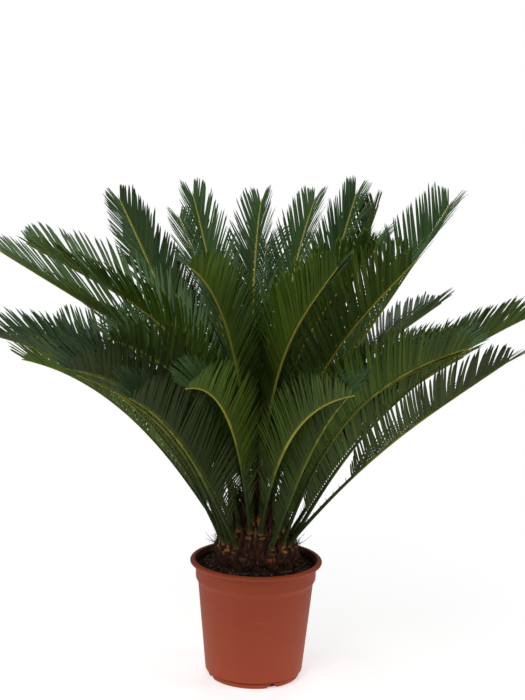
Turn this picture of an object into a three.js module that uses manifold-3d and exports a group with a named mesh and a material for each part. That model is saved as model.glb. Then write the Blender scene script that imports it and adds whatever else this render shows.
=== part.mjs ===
// A sago palm (Cycas revoluta) in a plastic nursery pot: millimetres, +Z up, origin at the centre
// of the pot's flat underside, with the plant's front towards -Y.
import * as THREE from "three";
import { mergeVertices } from "three/addons/utils/BufferGeometryUtils.js";
import Module from "manifold-3d";

const wasm = await Module();
wasm.setup();

// Driving dimensions.
const SEAT_GAP = 0.3;
const POT_HEIGHT = 220;
const POT_WALL = 2.4;
const POT_FLOOR = 3;
const RIM_RADIUS = 120;
const RIM_HEIGHT = 8;
const RIM_ROUND = 2;
const COLLAR_RADIUS = 109.3;
const COLLAR_FOOT = 184;
const BODY_TOP_RADIUS = 104.8;
const BODY_TOP = 177;
const BODY_FOOT_RADIUS = 88.8;
const BODY_FOOT = 16;
const FOOT_RING_RADIUS = 86;
const UNDERSIDE_RADIUS = 83;
const NOTCH_WIDTH = 24;
const NOTCH_HEIGHT = 10;
const NOTCH_HEADINGS = [24, 114, 204, 294];
const SOIL_AT_WALL = 206;
const SOIL_AT_TRUNK = 213;
const TRUNK_RADIUS = 77;
const TRUNK_HEIGHT = 112;
const TRUNK_LEAF_BASES = 13;
const TRUNK_SWELL = 0.03;
const BUD_RADIUS = 27;
const BUD_TIP = 398;
const POT_SIDES = 44;
const TRUNK_SIDES = 39;

// Frond proportions shared by every frond, along a rib whose length is 1.
const BLADE_END = 0.985;
const PETIOLE_STEPS = 3;
const LEAFLET_PAIRS = 12;
const RIB_FOOT_WIDTH = 9;
const RIB_TIP_WIDTH = 2.6;
const RIB_FOOT_DEPTH = 6.5;
const RIB_TIP_DEPTH = 1.6;
const LEAFLET_THICK = 1.35;
const LEAFLET_ROOT = 0.35;
const LEAFLET_SWEEP = 0.1;
const FOOT_LEAN_LESS = 14;
const FOOT_KEEL = 66;
const LEAFLET_SHOULDER = 0.66;
const LEAFLET_SHOULDER_WIDTH = 0.6;

// Each whorl: the ring its petioles leave the trunk from, how far its leaflets lean away from the
// rib at the blade's foot and tip, then one row for each frond. A row is the frond's heading
// (0 = right, 90 = back, 270 = front), its rise from level at the foot, how far it arches over, the
// share of its length in which that arch is spent, its rib's length, how far it swings round
// sideways, how far its blade rolls, the share of the rib that is bare petiole, how steeply its
// leaflets are raised into a V, and its longest leaflet. Angles are in degrees, lengths in
// millimetres.
const WHORLS = {
  outer: {
    radius: 62,
    height: 255,
    lean: [60, 30],
    fronds: [
      [21, 58, 38, 1.15, 484, 4, 0, 0.13, 47, 122],
      [48, 73, 49, 0.77, 610, -10, -17, 0.1, 42, 110],
      [76, 62, 46, 1.2, 560, 6, 0, 0.13, 47, 122],
      [101, 60, 48, 1.3, 550, -4, 0, 0.13, 47, 122],
      [131, 55, 46, 1.25, 566, -4, 0, 0.13, 47, 122],
      [158, 51, 60, 1.34, 566, -14, 23, 0.16, 50, 108],
      [176, 63, 49, 1.2, 520, -2, 0, 0.13, 47, 122],
      [199, 64, 51, 1.19, 582, -2, -12, 0.2, 44, 110],
      [209, 68, 50, 1.2, 460, 6, 0, 0.13, 47, 122],
      [223, 64, 60, 1.3, 572, 12, 0, 0.13, 66, 110],
      [238, 53, 45, 1.47, 550, 16, -5, 0.1, 66, 106],
      [293, 54, 45, 1.57, 552, -12, 0, 0.1, 64, 102],
      [314, 66, 46, 1.06, 624, -4, -7, 0.1, 54, 108],
      [329, 50, 13, 0.84, 582, -7, -11, 0.33, 31, 100],
      [348, 62, 34, 1.1, 608, 0, -9, 0.1, 46, 116],
    ],
  },
  middle: {
    radius: 48,
    height: 281,
    lean: [60, 30],
    fronds: [
      [8, 66, 50, 1.1, 474, 0, 0, 0.13, 51, 122],
      [27, 75, 30, 0.58, 726, 23, 12, 0.19, 60, 114],
      [45, 67, 6, 1.42, 628, 3, -18, 0.11, 57, 112],
      [69, 68, 40, 1.2, 606, 4, 0, 0.13, 51, 122],
      [90, 70, 38, 1.2, 600, -2, 0, 0.13, 51, 122],
      [113, 69, 32, 1.25, 642, 6, -6, 0.11, 49, 94],
      [137, 68, 31, 1.31, 600, 2, -10, 0.15, 56, 106],
      [159, 61, 38, 0.86, 514, -9, -13, 0.13, 51, 122],
      [185, 90, 62, 0.83, 680, -1, -15, 0.13, 52, 110],
      [200, 90, 58, 0.63, 708, 2, -14, 0.13, 32, 108],
      [232, 74, 56, 1.1, 536, -4, 0, 0.13, 62, 96],
      [257, 63, 69, 1.35, 552, -3, 0, 0.11, 66, 88],
      [278, 52, 49, 1.46, 570, 18, 0, 0.13, 68, 84],
      [310, 78, 36, 0.88, 630, 1, 2, 0.13, 58, 126],
      [329, 67, 46, 1.1, 512, 4, 0, 0.13, 51, 122],
    ],
  },
  inner: {
    radius: 36,
    height: 301,
    lean: [46, 17],
    fronds: [
      [54, 67, 5, 1.27, 634, 1, 24, 0.12, 59, 104],
      [75, 76, 47, 1.31, 658, -2, -4, 0.12, 59, 104],
      [100, 75, 37, 1.2, 642, -17, -14, 0.11, 59, 108],
      [121, 74, 23, 1.18, 628, -7, -15, 0.12, 58, 104],
      [145, 65, 15, 1.22, 648, -11, -30, 0.13, 30, 100],
      [255, 74, 83, 1.54, 680, 0, -1, 0.13, 56, 108],
      [279, 80, 42, 0.85, 618, 17, 0, 0.13, 56, 110],
      [319, 90, 51, 0.96, 596, -16, 6, 0.11, 58, 136],
    ],
  },
};

const radians = THREE.MathUtils.degToRad;
const mix = THREE.MathUtils.lerp;

function material(name, color, roughness) {
  return new THREE.MeshStandardMaterial({ name, color, roughness, metalness: 0 });
}

const TERRACOTTA = material("terracotta_plastic", 0x8c4833, 0.55);
const POTTING_SOIL = material("potting_soil", 0x1d150f, 1);
const TRUNK_BARK = material("trunk_bark", 0x4a2c1c, 0.95);
const BUD_FELT = material("bud_felt", 0x54321f, 0.95);
const FROND_GREEN = material("frond_green", 0x24401c, 0.5);

// A closed geometry as a solid that can be joined and cut.
function solid(geometry) {
  const bare = geometry.clone();
  bare.deleteAttribute("normal");
  bare.deleteAttribute("uv");
  const merged = mergeVertices(bare, 1e-4);
  return new wasm.Manifold(
    new wasm.Mesh({
      numProp: 3,
      vertProperties: new Float32Array(merged.attributes.position.array),
      triVerts: new Uint32Array(merged.index.array),
    }),
  );
}

function mesh(name, made, finish) {
  const { vertProperties, triVerts } = made.getMesh();
  const geometry = new THREE.BufferGeometry();
  geometry.setAttribute("position", new THREE.BufferAttribute(vertProperties, 3));
  geometry.setIndex(new THREE.BufferAttribute(triVerts, 1));
  const piece = new THREE.Mesh(geometry, finish);
  piece.name = name;
  return piece;
}

// A closed solid of revolution about Z from [radius, height] points that start and end on the axis.
function turned(profile, sides) {
  const points = profile.map(([radius, height]) => new THREE.Vector2(radius, height));
  return new THREE.LatheGeometry(points, sides).rotateX(Math.PI / 2);
}

// The pot's outside, from the centre of its underside up to the inner edge of its rim.
function potOutside() {
  const rimFoot = POT_HEIGHT - RIM_HEIGHT;
  return [
    [0, 0],
    [UNDERSIDE_RADIUS, 0],
    [FOOT_RING_RADIUS, 3],
    [FOOT_RING_RADIUS + 0.6, BODY_FOOT - 5],
    [BODY_FOOT_RADIUS, BODY_FOOT],
    [BODY_TOP_RADIUS, BODY_TOP],
    [COLLAR_RADIUS - 1, COLLAR_FOOT],
    [COLLAR_RADIUS, COLLAR_FOOT + 4],
    [COLLAR_RADIUS + 0.6, rimFoot - 1],
    [RIM_RADIUS - RIM_ROUND, rimFoot],
    [RIM_RADIUS - 0.5, rimFoot + RIM_ROUND],
    [RIM_RADIUS, POT_HEIGHT - 2 * RIM_ROUND],
    [RIM_RADIUS - 1, POT_HEIGHT - RIM_ROUND],
    [RIM_RADIUS - RIM_ROUND, POT_HEIGHT],
  ];
}

// The pot's inside wall, from the rim down to the floor.
function potInside() {
  return [
    [COLLAR_RADIUS + 2.5, POT_HEIGHT],
    [COLLAR_RADIUS - POT_WALL, POT_HEIGHT - 5],
    [COLLAR_RADIUS - POT_WALL - 0.6, COLLAR_FOOT + 2],
    [BODY_TOP_RADIUS - POT_WALL, BODY_TOP],
    [BODY_FOOT_RADIUS - POT_WALL, BODY_FOOT],
    [UNDERSIDE_RADIUS - POT_WALL, POT_FLOOR],
    [0, POT_FLOOR],
  ];
}

// A bell-shaped drain notch, cut in through the foot of the wall at one heading.
function drainNotch(heading) {
  const bell = new THREE.Shape();
  const half = NOTCH_WIDTH / 2;
  bell.moveTo(-half, -1);
  bell.lineTo(half, -1);
  bell.bezierCurveTo(half * 0.45, 0, half * 0.5, NOTCH_HEIGHT, 0, NOTCH_HEIGHT);
  bell.bezierCurveTo(-half * 0.5, NOTCH_HEIGHT, -half * 0.45, 0, -half, -1);
  const depth = 16;
  const geometry = new THREE.ExtrudeGeometry(bell, { depth, bevelEnabled: false, curveSegments: 5 });
  geometry.rotateX(Math.PI / 2);
  geometry.rotateZ(Math.PI / 2);
  geometry.translate(FOOT_RING_RADIUS + 4 - depth, 0, 0);
  geometry.rotateZ(radians(heading));
  return solid(geometry);
}

function makePot() {
  const walls = solid(turned([...potOutside(), ...potInside()], POT_SIDES));
  return NOTCH_HEADINGS.reduce((pot, heading) => pot.subtract(drainNotch(heading)), walls);
}

// The soil fills the pot just clear of its wall and floor, and rises a little towards the trunk.
function makeSoil() {
  const clear = SEAT_GAP + 0.2;
  const wall = BODY_TOP_RADIUS - POT_WALL - clear;
  const foot = UNDERSIDE_RADIUS - POT_WALL - clear - 1;
  return solid(
    turned(
      [
        [0, POT_FLOOR + SEAT_GAP],
        [foot, POT_FLOOR + SEAT_GAP],
        [BODY_FOOT_RADIUS - POT_WALL - clear, BODY_FOOT + 1],
        [wall, BODY_TOP],
        [COLLAR_RADIUS - POT_WALL - clear - 1, COLLAR_FOOT + 4],
        [COLLAR_RADIUS - POT_WALL - clear - 0.6, SOIL_AT_WALL],
        [TRUNK_RADIUS + 12, SOIL_AT_TRUNK - 2],
        [TRUNK_RADIUS + 4, SOIL_AT_TRUNK],
        [0, SOIL_AT_TRUNK],
      ],
      POT_SIDES,
    ),
  );
}

// The trunk: a squat barrel from a flat cut at the soil to a dome, swollen in rows where leaf bases
// sit. Grow makes it larger all round.
function makeTrunk(grow = 0) {
  const outline = [
    [0, 0],
    [0.97, 0],
    [1, 0.14],
    [0.97, 0.3],
    [0.9, 0.43],
    [0.78, 0.56],
    [0.65, 0.68],
    [0.52, 0.79],
    [0.38, 0.9],
    [0.22, 0.97],
    [0, 1],
  ];
  const foot = SOIL_AT_TRUNK + SEAT_GAP;
  const geometry = turned(outline.map(([r, z]) => [TRUNK_RADIUS * r, foot + TRUNK_HEIGHT * z]), TRUNK_SIDES);
  const place = geometry.attributes.position;
  for (let i = 0; i < place.count; i += 1) {
    const row = i % outline.length;
    const spot = new THREE.Vector3().fromBufferAttribute(place, i);
    const turn = Math.atan2(spot.y, spot.x) * TRUNK_LEAF_BASES + row * Math.PI;
    const radius = Math.hypot(spot.x, spot.y);
    const swollen = radius > 1 ? (1 + TRUNK_SWELL * Math.cos(turn)) * (1 + grow / radius) : 0;
    const lift = row < 2 ? -grow : grow * (row / outline.length);
    place.setXYZ(i, spot.x * swollen, spot.y * swollen, spot.z + lift);
  }
  return solid(geometry);
}

// The bud: a felted cone of young scale leaves that stands on the trunk's dome.
function makeBud(trunk) {
  const foot = SOIL_AT_TRUNK + TRUNK_HEIGHT * 0.86;
  const rise = BUD_TIP - foot;
  const cone = turned(
    [
      [0, foot],
      [BUD_RADIUS, foot],
      [BUD_RADIUS * 1.02, foot + rise * 0.2],
      [BUD_RADIUS * 0.8, foot + rise * 0.45],
      [BUD_RADIUS * 0.5, foot + rise * 0.7],
      [BUD_RADIUS * 0.24, foot + rise * 0.9],
      [0, BUD_TIP],
    ],
    16,
  );
  return solid(cone).subtract(trunk);
}

// A frond's rib at share s of its length, with the blade's side and face directions there.
function ribFrames(whorl, [heading, rise, arch, settle, length, swing, roll], shares) {
  const fine = 60;
  const outward = new THREE.Vector3(Math.cos(radians(heading)), Math.sin(radians(heading)), 0);
  const place = outward.clone().multiplyScalar(whorl.radius).setZ(whorl.height);
  const frames = [];
  let wanted = 0;
  for (let step = 0; step <= fine; step += 1) {
    const share = step / fine;
    const spent = THREE.MathUtils.smoothstep(share, 0, settle);
    const lift = radians(rise - arch * spent);
    const turn = radians(heading + swing * share);
    const along = new THREE.Vector3(
      Math.cos(lift) * Math.cos(turn),
      Math.cos(lift) * Math.sin(turn),
      Math.sin(lift),
    );
    while (wanted < shares.length && shares[wanted] <= share + 1e-9) {
      const level = new THREE.Vector3(-Math.sin(turn), Math.cos(turn), 0);
      const side = level.applyAxisAngle(along, radians(roll) * share);
      const face = along.clone().cross(side);
      const back = (share - shares[wanted]) * length;
      frames.push({
        share: shares[wanted],
        place: place.clone().addScaledVector(along, -back),
        along,
        side,
        face,
      });
      wanted += 1;
    }
    place.addScaledVector(along, length / fine);
  }
  return frames;
}

function ribShares(bare) {
  const shares = [];
  for (let i = 0; i < PETIOLE_STEPS; i += 1) shares.push((bare * i) / PETIOLE_STEPS);
  for (let i = 0; i <= LEAFLET_PAIRS; i += 1) shares.push(mix(bare, BLADE_END, i / LEAFLET_PAIRS));
  shares.push(1);
  return shares;
}

// A leaflet's length as a share of the longest, at share u of the blade: short at the blade's foot,
// longest before its middle, and short again at its blunt end.
function leafletShare(u) {
  const foot = 1 - 0.8 * (1 - Math.min(u / 0.36, 1)) ** 1.6;
  const tip = 1 - 0.42 * Math.max((u - 0.55) / 0.45, 0) ** 2;
  const end = 1 - 0.5 * Math.max((u - 0.88) / 0.12, 0) ** 1.5;
  return foot * tip * end;
}

// The angle by which leaflets are raised into a V: most at the blade's foot, least at its tip.
function leafletKeel(u, keelMost) {
  return radians(mix(FOOT_KEEL, keelMost, Math.min(u / 0.35, 1)) * mix(1, 0.82, u ** 3));
}

// The angle by which leaflets stand off the rib: most before the blade's middle, least at its tip.
function leafletLean(u, [leanFoot, leanTip]) {
  return radians(mix(leanFoot, leanTip, u ** 2) - FOOT_LEAN_LESS * (1 - Math.min(u / 0.3, 1)) ** 2);
}

function leafletDirection(frame, u, hand, leanEnds, keelMost) {
  const lean = leafletLean(u, leanEnds);
  const keel = leafletKeel(u, keelMost);
  const across = frame.side
    .clone()
    .multiplyScalar(hand * Math.cos(keel))
    .addScaledVector(frame.face, Math.sin(keel));
  return frame.along.clone().multiplyScalar(Math.cos(lean)).addScaledVector(across, Math.sin(lean));
}

// One leaflet between two stations of the rib: its root triangle, shoulder triangle and tip, which
// sweep a little along the rib.
function leaflet(root, direction, along, reach) {
  const [near, far, under] = root;
  const middle = near.clone().lerp(far, 0.5);
  const width = far.clone().sub(near).multiplyScalar(LEAFLET_SHOULDER_WIDTH / 2);
  const normal = direction.clone().cross(width).normalize();
  if (normal.dot(under.clone().sub(middle)) < 0) normal.negate();
  const shoulder = middle
    .clone()
    .addScaledVector(direction, reach * LEAFLET_SHOULDER)
    .addScaledVector(along, reach * LEAFLET_SWEEP * LEAFLET_SHOULDER ** 2);
  return {
    root,
    shoulder: [
      shoulder.clone().sub(width),
      shoulder.clone().add(width),
      shoulder.clone().addScaledVector(normal, LEAFLET_THICK),
    ],
    tip: middle
      .clone()
      .addScaledVector(direction, reach)
      .addScaledVector(along, reach * LEAFLET_SWEEP),
  };
}

// A rib of three edges: left, right and the keel under them.
function ribRings(frames) {
  return frames.map(({ share, place, side, face }) => {
    const half = mix(RIB_FOOT_WIDTH, RIB_TIP_WIDTH, share) / 2;
    const depth = mix(RIB_FOOT_DEPTH, RIB_TIP_DEPTH, share);
    return {
      left: place.clone().addScaledVector(side, half),
      right: place.clone().addScaledVector(side, -half),
      keel: place.clone().addScaledVector(face, -depth),
    };
  });
}

class Facets {
  points = [];

  triangle(a, b, c) {
    for (const p of [a, b, c]) this.points.push(p.x, p.y, p.z);
  }

  // A face seen from its front when hand is 1, and from its back when hand is -1.
  sided(hand, a, b, c) {
    if (hand > 0) this.triangle(a, b, c);
    else this.triangle(a, c, b);
  }

  solid() {
    const geometry = new THREE.BufferGeometry();
    geometry.setAttribute("position", new THREE.Float32BufferAttribute(this.points, 3));
    return solid(geometry);
  }
}

// The three faces of a leaflet from root to shoulder, and its three-sided point.
function addLeaflet(facets, hand, { root, shoulder, tip }) {
  for (let k = 0; k < 3; k += 1) {
    const next = (k + 1) % 3;
    facets.sided(hand, root[k], root[next], shoulder[next]);
    facets.sided(hand, root[k], shoulder[next], shoulder[k]);
    facets.sided(hand, shoulder[k], shoulder[next], tip);
  }
}

// A leaflet alone, swollen by the clearance, to test against what already stands there.
function leafletProbe(shape, hand) {
  const facets = new Facets();
  const swell = (corners) => {
    const middle = corners[0].clone().add(corners[1]).add(corners[2]).divideScalar(3);
    return corners.map((p) => p.clone().addScaledVector(p.clone().sub(middle).normalize(), 2 * SEAT_GAP));
  };
  const grown = { root: swell(shape.root), shoulder: swell(shape.shoulder), tip: shape.tip };
  addLeaflet(facets, hand, grown);
  facets.sided(hand, grown.root[0], grown.root[2], grown.root[1]);
  return facets.solid();
}

// Where leaflets can stand, along both edges of the rib: two points on the edge and one under them,
// square to the leaflet.
function leafletRoots(frames, rings, keelMost) {
  return rings.slice(0, -2).map((ring, i) => {
    const keel = leafletKeel(Math.max((i - PETIOLE_STEPS + 0.5) / LEAFLET_PAIRS, 0), keelMost);
    const { place, side, face } = frames[i];
    const depth = LEAFLET_ROOT * ring.keel.distanceTo(place);
    const root = (edge, hand) => {
      const under = ring[edge]
        .clone()
        .lerp(rings[i + 1][edge], 0.5)
        .addScaledVector(side, hand * Math.sin(keel) * depth)
        .addScaledVector(face, -Math.cos(keel) * depth);
      return [ring[edge], rings[i + 1][edge], under];
    };
    return { left: root("left", 1), right: root("right", -1) };
  });
}

// The frond as one closed surface: rib, petiole and the leaflets that were kept on each side.
function makeFrond(rings, roots, leaflets) {
  const facets = new Facets();
  const first = rings[0];
  facets.triangle(first.left, first.keel, first.right);
  for (let i = 0; i + 2 < rings.length; i += 1) {
    const ring = rings[i];
    const next = rings[i + 1];
    facets.triangle(ring.left, ring.right, next.right);
    facets.triangle(ring.left, next.right, next.left);
    for (const hand of [1, -1]) {
      const kept = leaflets.find((item) => item.station === i && item.hand === hand);
      const [near, far, under] = hand > 0 ? roots[i].left : roots[i].right;
      facets.sided(hand, near, under, ring.keel);
      facets.sided(hand, ring.keel, under, next.keel);
      facets.sided(hand, under, far, next.keel);
      if (kept) addLeaflet(facets, hand, kept.shape);
      else facets.sided(hand, near, far, under);
    }
  }
  const last = rings[rings.length - 2];
  const end = rings[rings.length - 1].keel;
  facets.triangle(last.left, last.right, end);
  facets.triangle(last.left, end, last.keel);
  facets.triangle(last.right, last.keel, end);
  return facets.solid();
}

const trunk = makeTrunk();
const grownTrunk = makeTrunk(1.3 * SEAT_GAP);
const bud = makeBud(grownTrunk);

const fronds = Object.entries(WHORLS).flatMap(([whorlName, whorl]) =>
  whorl.fronds.map((row, index) => {
    const [bare, keel, longest] = row.slice(7);
    const frames = ribFrames(whorl, row, ribShares(bare));
    const rings = ribRings(frames);
    const name = `frond_${whorlName}_${String(index + 1).padStart(2, "0")}`;
    const roots = leafletRoots(frames, rings, keel);
    const bareRib = makeFrond(rings, roots, []);
    return { name, frames, rings, roots, lean: whorl.lean, keel, longest, leaflets: [], bareRib };
  }),
);

// Leaflets are set from the tips inwards, all fronds together. One that would touch another frond is
// shortened, and one that still touches is left off.
const standing = [
  ...fronds.map((frond) => ({ owner: frond, body: frond.bareRib })),
  { owner: null, body: bud },
  { owner: null, body: grownTrunk },
].map((item) => ({ ...item, box: item.body.boundingBox() }));

function boxesMeet(a, b) {
  return [0, 1, 2].every((k) => a.min[k] < b.max[k] && b.min[k] < a.max[k]);
}

function touches(probe, owner) {
  const box = probe.boundingBox();
  return standing.some((item) => {
    if (item.owner === owner || !boxesMeet(box, item.box)) return false;
    const common = probe.intersect(item.body);
    const empty = common.isEmpty();
    common.delete();
    return !empty;
  });
}

const FITS = [1, 0.8, 0.6, 0.4];
for (let pair = LEAFLET_PAIRS - 1; pair >= 0; pair -= 1) {
  for (const frond of fronds) {
    const station = PETIOLE_STEPS + pair;
    const u = (pair + 0.5) / LEAFLET_PAIRS;
    for (const hand of [1, -1]) {
      const root = hand > 0 ? frond.roots[station].left : frond.roots[station].right;
      const frame = frond.frames[station];
      const direction = leafletDirection(frame, u, hand, frond.lean, frond.keel);
      for (const fit of FITS) {
        const shape = leaflet(root, direction, frame.along, frond.longest * leafletShare(u) * fit);
        const probe = leafletProbe(shape, hand);
        if (!touches(probe, frond)) {
          frond.leaflets.push({ station, hand, shape });
          standing.push({ owner: frond, body: probe, box: probe.boundingBox() });
          break;
        }
        probe.delete();
      }
    }
  }
}

const palm = new THREE.Group();
palm.name = "sago_palm";
palm.add(mesh("pot", makePot(), TERRACOTTA));
palm.add(mesh("soil", makeSoil(), POTTING_SOIL));
palm.add(mesh("trunk", trunk, TRUNK_BARK));
palm.add(mesh("bud", bud, BUD_FELT));
for (const frond of fronds) {
  const whole = makeFrond(frond.rings, frond.roots, frond.leaflets).subtract(grownTrunk);
  palm.add(mesh(frond.name, whole, FROND_GREEN));
}

export default palm;
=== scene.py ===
"""A sago palm in a plastic nursery pot: metres, +Z up, origin at the centre of the pot's flat underside,
with the plant's front towards -Y."""

import math

import bmesh
import bpy
import numpy as np
from mathutils import Matrix, Vector, noise


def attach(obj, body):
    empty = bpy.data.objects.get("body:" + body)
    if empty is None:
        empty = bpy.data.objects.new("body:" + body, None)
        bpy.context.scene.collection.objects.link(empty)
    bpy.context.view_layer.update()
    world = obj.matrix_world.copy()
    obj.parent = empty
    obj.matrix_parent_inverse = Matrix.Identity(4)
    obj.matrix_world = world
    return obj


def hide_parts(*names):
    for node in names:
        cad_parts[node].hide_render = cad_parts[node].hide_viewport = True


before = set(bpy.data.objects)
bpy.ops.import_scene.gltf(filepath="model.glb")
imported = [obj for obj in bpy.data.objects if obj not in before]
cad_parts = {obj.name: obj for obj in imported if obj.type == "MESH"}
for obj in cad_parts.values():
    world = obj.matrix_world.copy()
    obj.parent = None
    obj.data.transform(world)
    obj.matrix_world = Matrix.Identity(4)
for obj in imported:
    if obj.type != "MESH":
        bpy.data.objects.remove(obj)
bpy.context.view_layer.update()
MM = 0.001
UP = np.array((0.0, 0.0, 1.0))
GOLDEN_ANGLE = 137.508

# The pot, in millimetres.
POT_HEIGHT = 220
POT_WALL = 2.4
POT_FLOOR = 3
RIM_RADIUS = 120
RIM_HEIGHT = 8
COLLAR_RADIUS = 109.3
COLLAR_FOOT = 184
BODY_TOP_RADIUS = 104.8
BODY_TOP = 177
BODY_FOOT_RADIUS = 88.8
BODY_FOOT = 14
FOOT_RING_RADIUS = 83.5
UNDERSIDE_RADIUS = 79.5
RECESS_RADIUS = 68
RECESS_HEIGHT = 1.2
GROOVE_DEPTH = 2
NOTCH_WIDTH = 29
NOTCH_HEIGHT = 10
NOTCH_HEADINGS = (24, 114, 204, 294)
SLOT_HEADINGS = (235, 262, 301)
SOIL_AT_WALL = 206
SOIL_AT_TRUNK = 213

# The trunk and its bud, in millimetres, and how many swellings each row of leaf bases has.
TRUNK_RADIUS = 77
TRUNK_HEIGHT = 112
TRUNK_SWELL = 2.6
SWELLING_ROW = 13
SWELLINGS = 13
BUD_RADIUS = 27
BUD_TIP = 398
BUD_FOOT = 300

# Every frond's rib, leaflets and thorns, in millimetres and degrees. The blade's end is a share of
# the rib, droop and sweep are shares of a leaflet's length, and worn tips a share of all.
BLADE_END = 0.985
RIB_FOOT_WIDTH = 8.4
RIB_TIP_WIDTH = 2.4
RIB_FOOT_DEPTH = 6.5
RIB_TIP_DEPTH = 1.6
LEAFLET_PITCH = 5.8
LEAFLET_WIDTH = 4.8
LEAFLET_THICK = 0.7
LEAFLET_DROOP = 0.09
LEAFLET_SWEEP = 0.1
WORN_TIPS = 0.012
FOOT_LEAN_LESS = 14
FOOT_KEEL = 66
SPINES = 9
SPINE_WIDTH = 1.7
SPINE_THICK = 1

# Each whorl: the ring its petioles leave the trunk from, how far its leaflets lean away from the rib
# at the blade's foot and tip, then one row for each frond: its heading (0 = right, 90 = back, 270 =
# front), its rise from level at the foot, how far it arches over, the share of its length in which
# that arch is spent, its rib's length, how far it swings round sideways, how far its blade rolls,
# the share of the rib that is bare petiole, how steeply its leaflets are raised into a V, and its
# longest leaflet. Angles are in degrees, lengths in millimetres.
WHORLS = {
    "outer": {
        "radius": 62,
        "height": 255,
        "lean": (60, 30),
        "fronds": [
            [21, 58, 38, 1.15, 484, 4, 0, 0.13, 47, 122],
            [48, 73, 49, 0.77, 610, -10, -17, 0.1, 42, 110],
            [76, 62, 46, 1.2, 560, 6, 0, 0.13, 47, 122],
            [101, 60, 48, 1.3, 550, -4, 0, 0.13, 47, 122],
            [131, 55, 46, 1.25, 566, -4, 0, 0.13, 47, 122],
            [158, 51, 60, 1.34, 566, -14, 23, 0.16, 50, 108],
            [176, 63, 49, 1.2, 520, -2, 0, 0.13, 47, 122],
            [199, 64, 51, 1.19, 582, -2, -12, 0.2, 44, 110],
            [209, 68, 50, 1.2, 460, 6, 0, 0.13, 47, 122],
            [223, 64, 60, 1.3, 572, 12, 0, 0.13, 66, 110],
            [238, 53, 45, 1.47, 550, 16, -5, 0.1, 66, 106],
            [293, 54, 45, 1.57, 552, -12, 0, 0.1, 64, 102],
            [314, 66, 46, 1.06, 624, -4, -7, 0.1, 54, 108],
            [329, 50, 13, 0.84, 582, -7, -11, 0.33, 31, 100],
            [348, 62, 34, 1.1, 608, 0, -9, 0.1, 46, 116],
        ],
    },
    "middle": {
        "radius": 48,
        "height": 281,
        "lean": (60, 30),
        "fronds": [
            [8, 66, 50, 1.1, 474, 0, 0, 0.13, 51, 122],
            [27, 75, 30, 0.58, 726, 23, 12, 0.19, 60, 114],
            [45, 67, 6, 1.42, 628, 3, -18, 0.11, 57, 112],
            [69, 68, 40, 1.2, 606, 4, 0, 0.13, 51, 122],
            [90, 70, 38, 1.2, 600, -2, 0, 0.13, 51, 122],
            [113, 69, 32, 1.25, 642, 6, -6, 0.11, 49, 94],
            [137, 68, 31, 1.31, 600, 2, -10, 0.15, 56, 106],
            [159, 61, 38, 0.86, 514, -9, -13, 0.13, 51, 122],
            [185, 90, 62, 0.83, 680, -1, -15, 0.13, 52, 110],
            [200, 90, 58, 0.63, 708, 2, -14, 0.13, 32, 108],
            [232, 74, 56, 1.1, 536, -4, 0, 0.13, 62, 96],
            [257, 63, 69, 1.35, 552, -3, 0, 0.11, 66, 88],
            [278, 52, 49, 1.46, 570, 18, 0, 0.13, 68, 84],
            [310, 78, 36, 0.88, 630, 1, 2, 0.13, 58, 126],
            [329, 67, 46, 1.1, 512, 4, 0, 0.13, 51, 122],
        ],
    },
    "inner": {
        "radius": 36,
        "height": 301,
        "lean": (46, 17),
        "fronds": [
            [54, 67, 5, 1.27, 634, 1, 24, 0.12, 59, 104],
            [75, 76, 47, 1.31, 658, -2, -4, 0.12, 59, 104],
            [100, 75, 37, 1.2, 642, -17, -14, 0.11, 59, 108],
            [121, 74, 23, 1.18, 628, -7, -15, 0.12, 58, 104],
            [145, 65, 15, 1.22, 648, -11, -30, 0.13, 30, 100],
            [255, 74, 83, 1.54, 680, 0, -1, 0.13, 56, 108],
            [279, 80, 42, 0.85, 618, 17, 0, 0.13, 56, 110],
            [319, 90, 51, 0.96, 596, -16, 6, 0.11, 58, 136],
        ],
    },
}


def mix(a, b, t):
    return a + (b - a) * t


def smoothstep(t):
    t = np.clip(t, 0, 1)
    return t * t * (3 - 2 * t)


# ---------------------------------------------------------------- camera, light and floor


def make_camera():
    back, height = 2.80, 1.08
    pitch, yaw, roll = math.radians(9.65), math.radians(0.05), math.radians(1.38)
    ahead = Vector((math.sin(yaw) * math.cos(pitch), math.cos(yaw) * math.cos(pitch), -math.sin(pitch)))
    level = Vector((math.cos(yaw), -math.sin(yaw), 0))
    upright = level.cross(ahead)
    right = level * math.cos(roll) + upright * math.sin(roll)
    top = upright * math.cos(roll) - level * math.sin(roll)
    data = bpy.data.cameras.new("camera")
    data.sensor_width = 36
    data.lens = 82.03
    camera = bpy.data.objects.new("camera", data)
    turn = Matrix((right, top, -ahead)).transposed().to_4x4()
    turn.translation = Vector((0, -back, height))
    camera.matrix_world = turn
    bpy.context.scene.collection.objects.link(camera)
    bpy.context.scene.camera = camera


def area_light(name, place, target, size, power):
    data = bpy.data.lights.new(name, "AREA")
    data.shape = "DISK"
    data.size = size
    data.energy = power
    lamp = bpy.data.objects.new(name, data)
    lamp.location = place
    lamp.rotation_euler = (Vector(target) - Vector(place)).to_track_quat("-Z", "Y").to_euler()
    bpy.context.scene.collection.objects.link(lamp)


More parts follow.
